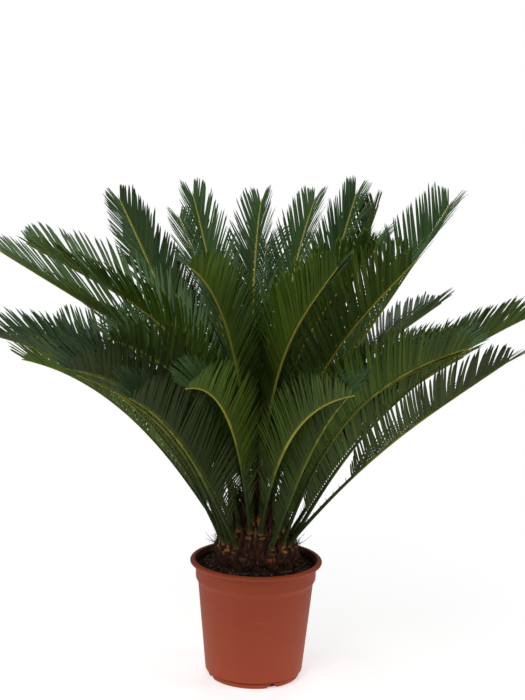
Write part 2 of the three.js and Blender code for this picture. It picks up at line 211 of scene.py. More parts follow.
def make_studio():
    scene = bpy.context.scene
    scene.view_settings.view_transform = "Standard"
    scene.world = bpy.data.worlds.new("studio")
    scene.world.use_nodes = True
    tree = scene.world.node_tree
    backdrop = tree.nodes["Background"]
    backdrop.inputs["Color"].default_value = (1, 1, 1, 1)
    seen = tree.nodes.new("ShaderNodeLightPath").outputs["Is Camera Ray"]
    strength = tree.nodes.new("ShaderNodeMapRange")
    strength.inputs["To Min"].default_value = 0.2
    tree.links.new(seen, strength.inputs["Value"])
    tree.links.new(strength.outputs["Result"], backdrop.inputs["Strength"])
    heart = (0, 0, 0.45)
    area_light("key", (-1.0, -2.4, 3.4), heart, 2.0, 62)
    area_light("left_side", (-3.2, -0.6, 1.4), heart, 1.4, 15)
    area_light("right_side", (3.2, -0.6, 1.4), heart, 1.4, 22)
    area_light("back_top", (0.4, 2.2, 3.2), heart, 2.4, 33)
    form = bmesh.new()
    bmesh.ops.create_circle(form, cap_ends=True, segments=96, radius=2.6)
    piece_from(form, "floor", [floor_paint()])


# ---------------------------------------------------------------- shader helpers


class Wire:
    """A shader output that Python's operators work on."""

    def __init__(self, paint, socket):
        self.paint = paint
        self.socket = socket

    def maths(self, operation, *values):
        return self.paint.node("ShaderNodeMath", {"operation": operation}, dict(enumerate(values)))

    def __add__(self, other):
        return self.maths("ADD", self, other)

    def __radd__(self, other):
        return self.maths("ADD", other, self)

    def __sub__(self, other):
        return self.maths("SUBTRACT", self, other)

    def __rsub__(self, other):
        return self.maths("SUBTRACT", other, self)

    def __mul__(self, other):
        return self.maths("MULTIPLY", self, other)

    def __rmul__(self, other):
        return self.maths("MULTIPLY", other, self)

    def clamped(self):
        return self.maths("MINIMUM", self.maths("MAXIMUM", self, 0.0), 1.0)

    def past(self, start, gain):
        """0 up to a start, and from there gain times as much, up to 1."""
        return ((self - start) * gain).clamped()


class Paint:
    """A material under way, with a method that adds any node."""

    def __init__(self, name, **constants):
        self.material = bpy.data.materials.new(name)
        self.material.use_nodes = True
        self.tree = self.material.node_tree
        self.shader = self.tree.nodes["Principled BSDF"]
        for socket, value in constants.items():
            self.shader.inputs[socket.replace("_", " ")].default_value = value

    def feed(self, socket, value):
        if isinstance(value, Wire):
            self.tree.links.new(value.socket, socket)
        else:
            socket.default_value = value

    def node(self, kind, settings=None, inputs=None, output=0):
        made = self.tree.nodes.new(kind)
        for key, value in (settings or {}).items():
            setattr(made, key, value)
        for key, value in (inputs or {}).items():
            self.feed(made.inputs[key], value)
        return Wire(self, made.outputs[output])

    def place(self, stretch=(1, 1, 1)):
        spot = self.node("ShaderNodeTexCoord", output="Object")
        return self.node("ShaderNodeMapping", {}, {"Vector": spot, "Scale": stretch})

    def height(self):
        return self.node("ShaderNodeSeparateXYZ", {}, {0: self.place()}, output=2)

    def noise(self, scale, detail=3.0, stretch=(1, 1, 1), roughness=0.5):
        sockets = {"Vector": self.place(stretch), "Scale": scale, "Detail": detail, "Roughness": roughness}
        return self.node("ShaderNodeTexNoise", {}, sockets)

    def length(self, vector):
        """How long a vector is, such as a place's distance from the origin."""
        return self.node("ShaderNodeVectorMath", {"operation": "LENGTH"}, {0: vector}, output="Value")

    def between(self, share, first, second):
        """A colour between two, by a share from 0 to 1."""
        settings = {"data_type": "RGBA"}
        return self.node("ShaderNodeMix", settings, {0: share, 6: first, 7: second}, output=2)

    def set(self, socket, value):
        self.feed(self.shader.inputs[socket], value)

    def bump(self, height, strength, distance):
        sockets = {"Height": height, "Strength": strength, "Distance": distance}
        self.set("Normal", self.node("ShaderNodeBump", {}, sockets))


def rgb(red, green, blue):
    return (red, green, blue, 1.0)


def floor_paint():
    """Pale and matt, fading into the white studio round it."""
    paint = Paint("pale_floor", Base_Color=rgb(0.88, 0.88, 0.88), Roughness=0.9)
    paint.shader.inputs["Emission Color"].default_value = rgb(1, 1, 1)
    paint.shader.inputs["Emission Strength"].default_value = 0.53
    reach = paint.length(paint.place())
    paint.set("Alpha", 1 - reach.past(0.2, 0.9))
    return paint.material


def plain(name, tone, roughness, gloss):
    return Paint(name, Base_Color=rgb(*tone), Roughness=roughness, Specular_IOR_Level=gloss).material


def plain_tones(name, tones, roughness, gloss):
    """A plain material for each tone, numbered from 1."""
    return [plain(f"{name}_{i + 1}", tone, roughness, gloss) for i, tone in enumerate(tones)]


# ---------------------------------------------------------------- meshes


def at_origin(data, materials):
    """Gives a mesh its materials and makes it an object at the origin."""
    for material in materials:
        data.materials.append(material)
    piece = bpy.data.objects.new(data.name, data)
    bpy.context.scene.collection.objects.link(piece)
    return piece


def piece_from(form, name, materials, smooth=False):
    """Makes the finished bmesh a piece."""
    data = bpy.data.meshes.new(name)
    form.to_mesh(data)
    form.free()
    data.polygons.foreach_set("use_smooth", [smooth] * len(data.polygons))
    return at_origin(data, materials)


def belongs(piece, slot, *nodes):
    """Ties a finished piece to the plant's body and hides the nodes that it stands for. The slot is not
    used.
    """
    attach(piece, "root")
    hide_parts(*nodes)


class Heap:
    """Many small shapes gathered into one joined mesh: points, faces of four or three corners, and the
    number of each face's material."""

    def __init__(self):
        self.points = []
        self.faces = {3: [], 4: []}
        self.tints = {3: [], 4: []}
        self.creases = []
        self.count = 0

    def add(self, points, faces, tints, creases=None):
        """Points is an array (shapes, corners, 3). Each of faces is one face's corners, the same on
        every shape, and tints its material, one number or one for each shape."""
        shapes, corners = points.shape[:2]
        offsets = self.count + np.arange(shapes)[:, None] * corners
        for face, tint in zip(faces, tints):
            self.faces[len(face)].append(offsets + np.array(face)[None, :])
            self.tints[len(face)].append(np.broadcast_to(tint, shapes))
        self.points.append(points.reshape(-1, 3))
        crease = np.zeros(corners, bool) if creases is None else np.array(creases, bool)
        self.creases.append(np.tile(crease, shapes))
        self.count += shapes * corners

    def piece(self, name, materials, smooth=True):
        """Makes the whole heap one piece."""
        data = bpy.data.meshes.new(name)
        points = np.concatenate(self.points)
        groups = [(size, np.concatenate(self.faces[size])) for size in (3, 4) if self.faces[size]]
        tints = np.concatenate([np.concatenate(self.tints[size]) for size, _ in groups])
        corners = np.concatenate([group.ravel() for _, group in groups])
        sizes = np.concatenate([np.full(len(group), size) for size, group in groups])
        data.vertices.add(len(points))
        data.vertices.foreach_set("co", points.astype(np.float32).ravel())
        data.loops.add(len(corners))
        data.loops.foreach_set("vertex_index", corners.astype(np.int32))
        data.polygons.add(len(sizes))
        data.polygons.foreach_set("loop_start", (np.cumsum(sizes) - sizes).astype(np.int32))
        data.polygons.foreach_set("material_index", tints.astype(np.int32))
        data.polygons.foreach_set("use_smooth", np.full(len(sizes), smooth))
        data.update(calc_edges=True)
        data.validate()
        creases = np.concatenate(self.creases)
        if creases.any():
            ends = np.zeros(len(data.edges) * 2, np.int32)
            data.edges.foreach_get("vertices", ends)
            sharp = creases[ends].reshape(-1, 2).all(1)
            data.attributes.new("sharp_edge", "BOOLEAN", "EDGE").data.foreach_set("value", sharp)
        return at_origin(data, materials)


def unit(vectors):
    return vectors / np.linalg.norm(vectors, axis=-1, keepdims=True)


def square_to(ahead, vectors):
    """The given vectors leaned until they stand square to ahead."""
    return unit(vectors - ahead * np.sum(vectors * ahead, 1)[:, None])


def outward(heading):
    """The level direction at a heading in degrees."""
    turn = math.radians(heading)
    return np.array([math.cos(turn), math.sin(turn), 0])


def places_at(out, reach, height):
    """Places in metres, by outward directions and by reaches and heights in millimetres."""
    return (out * reach[:, None] + UP * height[:, None]) * MM


def blades(heap, roots, ahead, upward, long, wide, thick, shape, droop, sweep, tints):
    """Adds pointed blades, one for each root: a ridged upper side and a keeled underside that meet
    at sharp margins. Shape is a list of (share of length, share of width); droop bends the blade
    away from its upper side, and sweep bends it along the given vectors."""
    across = np.cross(ahead, upward)
    rings = []
    for share, width in shape:
        bent = ahead * share + sweep * share**2 - upward * (droop * share**2)[:, None]
        middle = roots + bent * long[:, None]
        half = (wide * width / 2)[:, None]
        depth = thick * (0.35 + 0.65 * width) / 2
        curl = upward * half * 0.22
        rings += [
            middle - across * half - curl,
            middle + upward * depth,
            middle + across * half - curl,
            middle - upward * depth,
        ]
    tip = roots + (ahead + sweep - upward * droop[:, None]) * long[:, None]
    points = np.stack([*rings, tip], axis=1)
    faces, face_tints = [(3, 2, 1, 0)], [tints[0][1]]
    stations = len(shape)
    for k in range(stations):
        near, far = 4 * k, 4 * k + 4
        for a, b in ((0, 1), (1, 2), (2, 3), (3, 0)):
            side = 0 if a < 2 else 1
            tint = tints[k][side]
            if k < stations - 1:
                faces.append((near + a, near + b, far + b, far + a))
            else:
                faces.append((near + a, near + b, 4 * stations))
            face_tints.append(tint)
    creases = [True, False, True, False] * stations + [False]
    heap.add(points, faces, face_tints, creases)


def tube(heap, middles, sides, faces, widths, rises, depths, tints, corners=8):
    """Adds one closed tube of rings. A ring has its own half width, its rise on its face's side and its
    depth on the other, and each stretch between two rings has a material, or one for each side."""
    rings = []
    for k in range(corners):
        angle = 2 * math.pi * k / corners
        out, rise = math.cos(angle), math.sin(angle)
        heights = (rises if rise > 0 else depths) * rise
        rings.append(middles + sides * (widths * out)[:, None] + faces * heights[:, None])
    points = np.stack(rings, 1).reshape(1, -1, 3)
    points = np.concatenate([points, middles[:1][None], middles[-1:][None]], 1)
    tints = np.broadcast_to(np.reshape(tints, (len(tints), -1)), (len(tints), corners))
    faces_made, shades = [], []
    for i, stretch in enumerate(tints):
        near, far = i * corners, (i + 1) * corners
        for k in range(corners):
            n = (k + 1) % corners
            faces_made.append((near + k, near + n, far + n, far + k))
            shades.append(stretch[k])
    end = len(tints) * corners
    first, last = end + corners, end + corners + 1
    for k in range(corners):
        n = (k + 1) % corners
        faces_made += [(n, k, first), (end + k, end + n, last)]
        shades += [tints[0][k], tints[-1][k]]
    heap.add(points, faces_made, shades)


# ---------------------------------------------------------------- fronds


def rib_frames(whorl, row, shares, fine=60):
    """Places on a frond's rib at shares of its length, with its own along, side and face directions."""
    heading, rise, arch, settle, length, swing, roll = row[:7]
    steps = np.arange(fine + 1) / fine
    lift = np.radians(rise - arch * smoothstep(steps / settle))
    turn = np.radians(heading + swing * steps)
    along = np.stack([np.cos(lift) * np.cos(turn), np.cos(lift) * np.sin(turn), np.sin(lift)], 1)
    start = outward(heading) * whorl["radius"] + UP * whorl["height"]
    moves = np.concatenate([np.zeros((1, 3)), np.cumsum(along[:-1] * length / fine, axis=0)])
    places = (start + moves) * MM

    def at(values):
        return np.stack([np.interp(shares, steps, values[:, k]) for k in range(3)], 1)

    there = unit(at(along))
    turned = np.interp(shares, steps, turn)
    level = np.stack([-np.sin(turned), np.cos(turned), np.zeros_like(turned)], 1)
    tilt = np.radians(roll) * np.asarray(shares)[:, None]
    side = unit(level * np.cos(tilt) + np.cross(there, level) * np.sin(tilt))
    return at(places), there, side, np.cross(there, side)


def leaflet_share(u):
    """A leaflet's length as a share of the longest, at a share u of the blade."""
    foot = 1 - 0.8 * (1 - np.minimum(u / 0.36, 1)) ** 1.6
    tip = 1 - 0.42 * np.maximum((u - 0.55) / 0.45, 0) ** 2
    end = 1 - 0.5 * np.maximum((u - 0.88) / 0.12, 0) ** 1.5
    return foot * tip * end


def leaflet_lean(u, foot, tip):
    """How far leaflets stand off the rib: furthest before the blade's middle, least at its tip."""
    return mix(foot, tip, u**2) - FOOT_LEAN_LESS * (1 - np.minimum(u / 0.3, 1)) ** 2


def leaflet_keel(u, most):
    """How steeply leaflets are raised into a V: most at the blade's foot, least at its tip."""
    return mix(FOOT_KEEL, most, np.minimum(u / 0.35, 1)) * mix(1, 0.82, u**3)


# The share of the blade's length at which each ring of a leaflet lies, and its share of the width.
LEAFLET_SHAPE = [(0, 0.5), (0.05, 0.85), (0.15, 1), (0.45, 1), (0.75, 0.94), (0.92, 0.62)]

# Where each kind's tones start among the leaflets' materials, and the ribs' upper side among theirs.
UPPER, UNDER, RIPE_AND_SHADED, FOOT, WORN = 0, 4, 8, 10, 12
RIB_UPPER = 6


def leaf_materials():
    """Upper sides dark and glossy, undersides paler and matt, ripe tones dark for thorns and painted
    shade, feet yellow, worn tips rusty.
    """
    upper = [(0.028, 0.068, 0.022), (0.044, 0.100, 0.031), (0.058, 0.126, 0.036), (0.074, 0.148, 0.042)]
    under = [(0.038, 0.064, 0.008), (0.060, 0.100, 0.011), (0.092, 0.158, 0.014), (0.126, 0.212, 0.018)]
    ripe = [(0.024, 0.058, 0.012), (0.040, 0.070, 0.016)]
    foot = [(0.11, 0.15, 0.022), (0.17, 0.20, 0.028)]
    worn = [(0.16, 0.07, 0.02), (0.10, 0.035, 0.012)]
    return [
        *plain_tones("leaflet_upper", upper, 0.5, 0.4),
        *plain_tones("leaflet_under", under, 0.6, 0.22),
        *plain_tones("leaflet_ripe_and_shaded", ripe, 0.6, 0.15),
        *plain_tones("leaflet_foot", foot, 0.6, 0.15),
        *plain_tones("leaflet_worn", worn, 0.7, 0.5),
    ]


# The tones of each whorl's upper sides and undersides, the share of its blades near the foot that gets
# painted shade, darker tones for where the crown shades it, and by how many tones, and how yellow its ribs
# get.
WHORL_TINTS = {"outer": ((0, 1, 2), (0, 1)), "middle": ((1, 2, 3), (1, 2)), "inner": ((1, 2, 3), (2, 3))}
WHORL_SHADE = {"outer": (0.2, 1), "middle": (0.2, 1), "inner": (0.4, 2)}
WHORL_RIPENESS = {"outer": 4, "middle": 5.6, "inner": 5.9}

# By how many tones the leaflets of some fronds, by heading, are paler than their whorl's, partly their own
# tone and partly painted light and shade for how brightly each is lit, and the half of a frond that is
# dull and painted darker as shade.
PALER_BY = {27: 1, 75: 1, 145: -1, 158: 1, 185: 2, 200: 2, 223: -1, 238: -1, 257: 1, 314: 1, 348: 1}
DULL_SHADED_HALF = (145, -1)


def drifting(count, spread, rng, knots=12):
    """A slow random drift along a frond, so that neighbouring leaflets lie alike."""
    return np.interp(np.linspace(0, knots - 1, count), np.arange(knots), rng.normal(0, spread, knots))


def add_leaflets(heap, whorl_name, whorl, row, rng):
    """Two combs of narrow leaflets, one on each side of a frond's rib, and the thorns below them."""
    bare, keel_most, longest = row[7:10]
    pairs = round((BLADE_END - bare) * row[4] / LEAFLET_PITCH)
    uppers, unders = WHORL_TINTS[whorl_name]
    shaded_share, shaded_by = WHORL_SHADE[whorl_name]
    for hand in (1, -1):
        u = (np.arange(pairs) + (0.5 if hand > 0 else 0.95)) / (pairs + 0.5)
        shares = mix(bare, BLADE_END, u)
        places, along, side, face = rib_frames(whorl, row, shares)
        lean = leaflet_lean(u, *whorl["lean"]) + drifting(pairs, 2, rng) + rng.normal(0, 1.4, pairs)
        keel = leaflet_keel(u, keel_most) + drifting(pairs, 2, rng) + rng.normal(0, 2, pairs)
        lean, keel = np.radians(lean), np.radians(keel)
        out = side * (hand * np.cos(keel))[:, None] + face * np.sin(keel)[:, None]
        ahead = unit(along * np.cos(lean)[:, None] + out * np.sin(lean)[:, None])
        rise = face * np.cos(keel)[:, None] - side * (hand * np.sin(keel))[:, None]
        upward = unit(rise + along * 0.08)
        upward = square_to(ahead, upward)
        half = mix(RIB_FOOT_WIDTH, RIB_TIP_WIDTH, shares**0.6) * MM * 0.4
        roots = places + side * (hand * half)[:, None] + face * (0.1 * half)[:, None]
        part = leaflet_share(u) * rng.normal(1, 0.035, pairs)
        wide = LEAFLET_WIDTH * MM * mix(0.62, 1, np.clip(part, 0, 1))
        droop = LEAFLET_DROOP + drifting(pairs, 0.025, rng) + rng.normal(0, 0.02, pairs)
        sweep = along * rng.normal(LEAFLET_SWEEP, 0.03, pairs)[:, None]
        # Painted shade: leaflets near the blade's foot take darker tones.
        shaded = np.where(u < shaded_share + rng.normal(0, 0.04, pairs), shaded_by, 0)
        shaded -= PALER_BY.get(row[0], 0)
        shade = UPPER + np.clip(rng.choice(uppers, pairs) - shaded, 0, 3)
        # Painted shade: one half of this frond takes the darker, matt ripe tones.
        if (row[0], hand) == DULL_SHADED_HALF:
            shade = RIPE_AND_SHADED + shade % 2
        pale = UNDER + np.clip(rng.choice(unders, pairs) - shaded, 0, 3)
        foot = np.full(pairs, FOOT + (whorl_name != "outer"))
        worn = rng.random(pairs) < WORN_TIPS
        tip_upper = np.where(worn, WORN, shade)
        tip_under = np.where(worn, WORN + 1, pale)
        tints = [(foot, foot)] + [(shade, pale)] * 4 + [(tip_upper, tip_under)]
        long = part * longest * MM
        thick = LEAFLET_THICK * MM
        blades(heap, roots, ahead, upward, long, wide, thick, LEAFLET_SHAPE, droop, sweep, tints)
        add_spines(heap, whorl, row, hand, rng)


def add_spines(heap, whorl, row, hand, rng):
    """Thorns on the petiole, which lengthen towards the blade."""
    u = (np.arange(SPINES) + 0.5) / SPINES
    shares = mix(0.04, row[7], u)
    places, along, side, face = rib_frames(whorl, row, shares)
    ahead = unit(along * 0.75 + side * hand * 0.8 + face * 0.35 + rng.normal(0, 0.08, (SPINES, 3)))
    upward = square_to(ahead, face)
    roots = places + side * (hand * RIB_FOOT_WIDTH * 0.36 * MM)
    long = mix(0.005, 0.016, u**1.5) * rng.normal(1, 0.12, SPINES)
    wide = np.full(SPINES, SPINE_WIDTH * MM)
    thick = SPINE_THICK * MM
    shape = [(0, 1), (0.5, 0.7)]
    still = np.zeros(SPINES)
    tint = np.full(SPINES, RIPE_AND_SHADED)
    tints = [(tint, tint)] * len(shape)
    blades(heap, roots, ahead, upward, long, wide, thick, shape, still, along * 0.1, tints)


def rib_materials():
    """Undersides from green to yellow, and then the upper side along the blade."""
    under = [
        (0.032, 0.050, 0.009), (0.052, 0.080, 0.011), (0.090, 0.122, 0.015),
        (0.155, 0.180, 0.021), (0.27, 0.28, 0.033), (0.44, 0.41, 0.052),
    ]
    upper = plain("rib_upper", (0.36, 0.37, 0.08), 0.5, 0.3)
    return [*plain_tones("rib_under", under, 0.6, 0.15), upper]


def add_rib(heap, whorl_name, whorl, row, rng):
    """A rib that is round below, with a low ridge above, from a broad foot to a thin tip."""
    stations = 34
    shares = (np.arange(stations) / (stations - 1)) ** 0.9
    places, _, side, face = rib_frames(whorl, row, shares)
    half = mix(RIB_FOOT_WIDTH, RIB_TIP_WIDTH, shares**0.6) * MM / 2
    half[-1] *= 0.3
    depth = mix(RIB_FOOT_DEPTH, RIB_TIP_DEPTH, shares**0.6) * MM
    ripest = WHORL_RIPENESS[whorl_name]
    ripe = mix(0, ripest, smoothstep((shares - 0.02) / 0.55)) + rng.uniform(-0.3, 0.3, stations)
    tints = [
        [RIB_UPPER if k in (1, 2) and share > row[7] else shade for k in range(8)]
        for share, shade in zip(shares[:-1], np.clip(ripe, 0, 5).astype(int))
    ]
    tube(heap, places, side, face, half, depth * 0.35, depth, tints)


def make_fronds():
    leaf_finish = leaf_materials()
    rib_finish = rib_materials()
    rng = np.random.default_rng(11)
    for name, whorl in WHORLS.items():
        leaflets, ribs = Heap(), Heap()
        for row in whorl["fronds"]:
            add_leaflets(leaflets, name, whorl, row, rng)
            add_rib(ribs, name, whorl, row, rng)
        nodes = [f"frond_{name}_{i + 1:02d}" for i in range(len(whorl["fronds"]))]
        belongs(leaflets.piece(f"leaflets_{name}", leaf_finish), "frond_green", *nodes)
        belongs(ribs.piece(f"ribs_{name}", rib_finish), "frond_green", *nodes)


# ---------------------------------------------------------------- pot


def arc(middle_radius, middle_height, radius, start, end, steps=6):
    """Points of an arc in a profile's plane, between two angles from outwards, in degrees."""
    turns = [math.radians(mix(start, end, k / steps)) for k in range(steps + 1)]
    return [(middle_radius + radius * math.cos(t), middle_height + radius * math.sin(t)) for t in turns]


def turned(profile, sides):
    """A closed form of revolution about Z, from (radius, height) points in millimetres that start
    and end on the axis."""
    form = bmesh.new()
    corners = [form.verts.new((radius * MM, 0, height * MM)) for radius, height in profile]
    edges = [form.edges.new(pair) for pair in zip(corners, corners[1:])]
    geometry = corners + edges
    full = 2 * math.pi
    bmesh.ops.spin(form, geom=geometry, axis=(0, 0, 1), angle=full, steps=sides, use_merge=True)
    bmesh.ops.remove_doubles(form, verts=form.verts, dist=1e-6)
    bmesh.ops.recalc_face_normals(form, faces=form.faces)
    return form


def pot_outside():
    """The pot's outside, from the centre of its underside up to the top of its rolled rim."""
    rim_foot = POT_HEIGHT - RIM_HEIGHT
    groove = FOOT_RING_RADIUS - GROOVE_DEPTH
    return [
        (0, RECESS_HEIGHT),
        (RECESS_RADIUS, RECESS_HEIGHT),
        (RECESS_RADIUS + 3, 0),
        (UNDERSIDE_RADIUS - 1, 0),
        *arc(FOOT_RING_RADIUS - 5, 5, 5, -80, 0),
        *arc(FOOT_RING_RADIUS - 0.8, BODY_FOOT - 4.7, 0.8, 0, 80, 3),
        (groove, BODY_FOOT - 3.6),
        (groove, BODY_FOOT - 2.4),
        (BODY_FOOT_RADIUS - 2, BODY_FOOT - 1.6),
        *arc(BODY_FOOT_RADIUS - 1.8, BODY_FOOT + 0.3, 1.8, -70, 0, 4),
        (BODY_TOP_RADIUS - 0.1, BODY_TOP - 2),
        (BODY_TOP_RADIUS + 0.3, BODY_TOP),
        (COLLAR_RADIUS - 1.2, COLLAR_FOOT - 1),
        (COLLAR_RADIUS - 0.3, COLLAR_FOOT + 1),
        (COLLAR_RADIUS, COLLAR_FOOT + 4),
        (COLLAR_RADIUS + 0.6, rim_foot - 2),
        (COLLAR_RADIUS + 1.2, rim_foot - 0.3),
        (COLLAR_RADIUS + 2.2, rim_foot + 0.6),
        (RIM_RADIUS - 5, rim_foot),
        *arc(RIM_RADIUS - 3.6, rim_foot + 3.6, 3.6, -80, -10, 4),
        *arc(RIM_RADIUS - 4.6, POT_HEIGHT - 4.6, 4.6, 0, 90, 6),
    ]


def pot_inside():
    """The pot's inside, from the rim down to the middle of its floor."""
    return [
        *arc(COLLAR_RADIUS + 3.6, POT_HEIGHT - 3.4, 3.2, 100, 170, 4),
        (COLLAR_RADIUS - POT_WALL + 0.6, POT_HEIGHT - 8),
        (COLLAR_RADIUS - POT_WALL - 0.6, COLLAR_FOOT + 2),
        (BODY_TOP_RADIUS - POT_WALL, BODY_TOP),
        (BODY_FOOT_RADIUS - POT_WALL, BODY_FOOT + 5),
        (FOOT_RING_RADIUS - GROOVE_DEPTH - POT_WALL, BODY_FOOT - 2),
        (UNDERSIDE_RADIUS - POT_WALL, POT_FLOOR),
        (0, POT_FLOOR),
    ]


def notch_cutters():
    """Bell-shaped notches through the foot of the wall, and the small slots in the groove above."""
    form = bmesh.new()
    steps, depth = 16, 14
    outside = (FOOT_RING_RADIUS + 4) * MM
    half_width = NOTCH_WIDTH / 2 * MM
    for heading in NOTCH_HEADINGS:
        bell = []
        for k in range(steps + 1):
            t = mix(-1, 1, k / steps)
            height = NOTCH_HEIGHT * (0.5 + 0.5 * math.cos(math.pi * t)) - 0.6
            bell.append(form.verts.new((outside, t * half_width, height * MM)))
        bell += [form.verts.new((outside, y, -2 * MM)) for y in (half_width, -half_width)]
        face = form.faces.new(bell)
        grown = bmesh.ops.extrude_face_region(form, geom=[face])["geom"]
        inner = [item for item in grown if isinstance(item, bmesh.types.BMVert)]
        bmesh.ops.translate(form, verts=inner, vec=(-depth * MM, 0, 0))
        turn = Matrix.Rotation(math.radians(heading), 3, "Z")
        bmesh.ops.rotate(form, verts=bell + inner, matrix=turn)
    for heading in SLOT_HEADINGS:
        size = Matrix.Diagonal((5 * MM, 8 * MM, 2 * MM, 1))
        out = Matrix.Translation(((FOOT_RING_RADIUS - 1) * MM, 0, (BODY_FOOT - 3.4) * MM))
        turn = Matrix.Rotation(math.radians(heading), 4, "Z")
        bmesh.ops.create_cube(form, size=1, matrix=turn @ out @ size)
    bmesh.ops.recalc_face_normals(form, faces=form.faces)
    return form


def cut(piece, cutters):
    """Cuts a form out of a piece, and applies the cut to its mesh."""
    tool = piece_from(cutters, "cutter", [])
    modifier = piece.modifiers.new("cut", "BOOLEAN")
    modifier.object = tool
    modifier.solver = "MANIFOLD"
    evaluated = piece.evaluated_get(bpy.context.evaluated_depsgraph_get())
    carved = bpy.data.meshes.new_from_object(evaluated)
    piece.modifiers.clear()
    piece.data = carved
    bpy.data.objects.remove(tool)


def sharpen(piece, degrees):
    """Smooth shading, with the edges that turn by more than an angle kept sharp."""
    form = bmesh.new()
    form.from_mesh(piece.data)
    for edge in form.edges:
        edge.smooth = edge.calc_face_angle(0) < math.radians(degrees)
    for face in form.faces:
        face.smooth = True
    form.to_mesh(piece.data)
    form.free()


def pot_plastic():
    """Terracotta-coloured plastic: slightly mottled, fine-grained, with faint scuffs round the body, and
    painted shade on the inside above the soil.
    """
    paint = Paint("terracotta_plastic", Roughness=0.5, Specular_IOR_Level=0.25)
    clouds = paint.noise(9, detail=4)
    flecks = paint.noise(260, detail=2)
    scuffs = paint.noise(34, detail=5, stretch=(1, 1, 3.2)).past(0.62, 1.6)
    colour = paint.between(clouds, rgb(0.330, 0.049, 0.016), rgb(0.385, 0.066, 0.023))
    colour = paint.between(flecks.past(0.45, 0.6), colour, rgb(0.28, 0.040, 0.014))
    colour = paint.between(scuffs, colour, rgb(0.48, 0.14, 0.07))
    # Painted shade: all that lies above the soil's edge and within the wall, which flares out under the
    # rim, is painted near-black for the dark inside.
    flare = paint.height().past((POT_HEIGHT - RIM_HEIGHT + 1) * MM, 0.6)
    within_wall = flare + (COLLAR_RADIUS - 0.8) * MM - paint.length(paint.place((1, 1, 0)))
    above_soil = paint.height().past((SOIL_AT_WALL - 10) * MM, 500)
    shade = (within_wall * 900).clamped() * above_soil * 0.94
    colour = paint.between(shade, colour, rgb(0.022, 0.009, 0.006))
    paint.set("Base Color", colour)
    paint.set("Roughness", 0.5 + clouds * 0.14 + scuffs * 0.4)
    paint.bump(flecks * 0.5 + paint.noise(900, detail=2) * 0.5, 0.12, 0.0006)
    return paint.material


def make_pot():
    form = turned([*pot_outside(), *pot_inside()], sides=144)
    pot = piece_from(form, "nursery_pot", [pot_plastic()])
    cut(pot, notch_cutters())
    sharpen(pot, 32)
    belongs(pot, "terracotta_plastic", "pot")


# ---------------------------------------------------------------- soil


# How close together the soil's lumps lie, and how high they are.
SOIL_LUMPS = ((0.055, 2.2), (0.16, 1.5), (0.45, 0.7))


def soil_level(x, y):
    """The height of the soil's surface, in millimetres, at a place in millimetres."""
    reach = math.hypot(x, y)
    wall = COLLAR_RADIUS - POT_WALL
    share = min(max((reach - TRUNK_RADIUS - 4) / (wall - TRUNK_RADIUS - 4), 0), 1)
    spot = Vector((x, y, 0))
    lumps = sum(noise.noise(spot * close) * high for close, high in SOIL_LUMPS)
    return mix(SOIL_AT_TRUNK - 1, SOIL_AT_WALL, share) + lumps


def potting_soil():
    """Near-black peat with browner clods and dry specks."""
    paint = Paint("potting_soil", Roughness=0.95, Specular_IOR_Level=0.2)
    clods = paint.noise(160, detail=6, roughness=0.65)
    specks = paint.noise(420, detail=3)
    black, brown, dry = rgb(0.0035, 0.0024, 0.0018), rgb(0.020, 0.012, 0.008), rgb(0.05, 0.03, 0.018)
    colour = paint.between(clods.past(0.4, 3), black, brown)
    colour = paint.between(specks.past(0.6, 6), colour, dry)
    paint.set("Base Color", colour)
    paint.bump(clods, 0.8, 0.003)
    return paint.material


def make_soil():
    """The soil that fills the pot, a little clear of its wall, with a lumpy top."""
    clear = 0.5
    wall = COLLAR_RADIUS - POT_WALL - clear
    rings = 30
    profile = [
        (0, POT_FLOOR + clear),
        (UNDERSIDE_RADIUS - POT_WALL - clear - 1, POT_FLOOR + clear),
        (FOOT_RING_RADIUS - GROOVE_DEPTH - POT_WALL - clear, BODY_FOOT - 2),
        (BODY_FOOT_RADIUS - POT_WALL - clear, BODY_FOOT + 6),
        (BODY_TOP_RADIUS - POT_WALL - clear, BODY_TOP),
        (wall - 1, COLLAR_FOOT + 4),
        (wall - 0.6, SOIL_AT_WALL - 4),
        *[(mix(wall - 1.6, 0, k / rings), POT_HEIGHT) for k in range(rings + 1)],
    ]
    form = turned(profile, sides=132)
    for corner in form.verts:
        if corner.co.z > (POT_HEIGHT - 1) * MM:
            corner.co.z = soil_level(corner.co.x / MM, corner.co.y / MM) * MM
    soil = piece_from(form, "soil_surface", [potting_soil()], smooth=True)
    belongs(soil, "potting_soil", "soil")
    make_crumbs()


def spun(count, rng):
    """Random turns, as an array of matrices."""
    w, x, y, z = unit(rng.normal(size=(count, 4))).T
    rows = [
        [1 - 2 * (y * y + z * z), 2 * (x * y - z * w), 2 * (x * z + y * w)],
        [2 * (x * y + z * w), 1 - 2 * (x * x + z * z), 2 * (y * z - x * w)],
        [2 * (x * z - y * w), 2 * (y * z + x * w), 1 - 2 * (x * x + y * y)],
    ]
    return np.moveaxis(np.array(rows), 2, 0)


def grains(heap, places, sizes, tints, turns):
    """Adds twenty-sided grains with their own lengths, widths and heights."""
    form = bmesh.new()
    bmesh.ops.create_icosphere(form, subdivisions=1, radius=0.5)
    form.verts.index_update()
    corners = np.array([v.co for v in form.verts])
    faces = [tuple(v.index for v in f.verts) for f in form.faces]
    form.free()
    points = np.einsum("nij,nkj->nki", turns, corners[None] * sizes[:, None]) + places[:, None]
    heap.add(points, faces, [tints] * len(faces))


def on_soil(count, rng, inner, outer, lift):
    """Random places on the soil between two distances from its middle, in metres."""
    reach = np.sqrt(rng.uniform(inner**2, outer**2, count))
    turn = rng.uniform(0, 2 * np.pi, count)
    x, y = reach * np.cos(turn), reach * np.sin(turn)
    level = np.array([soil_level(a, b) for a, b in zip(x, y)]) + lift
    return np.stack([x, y, level], 1) * MM


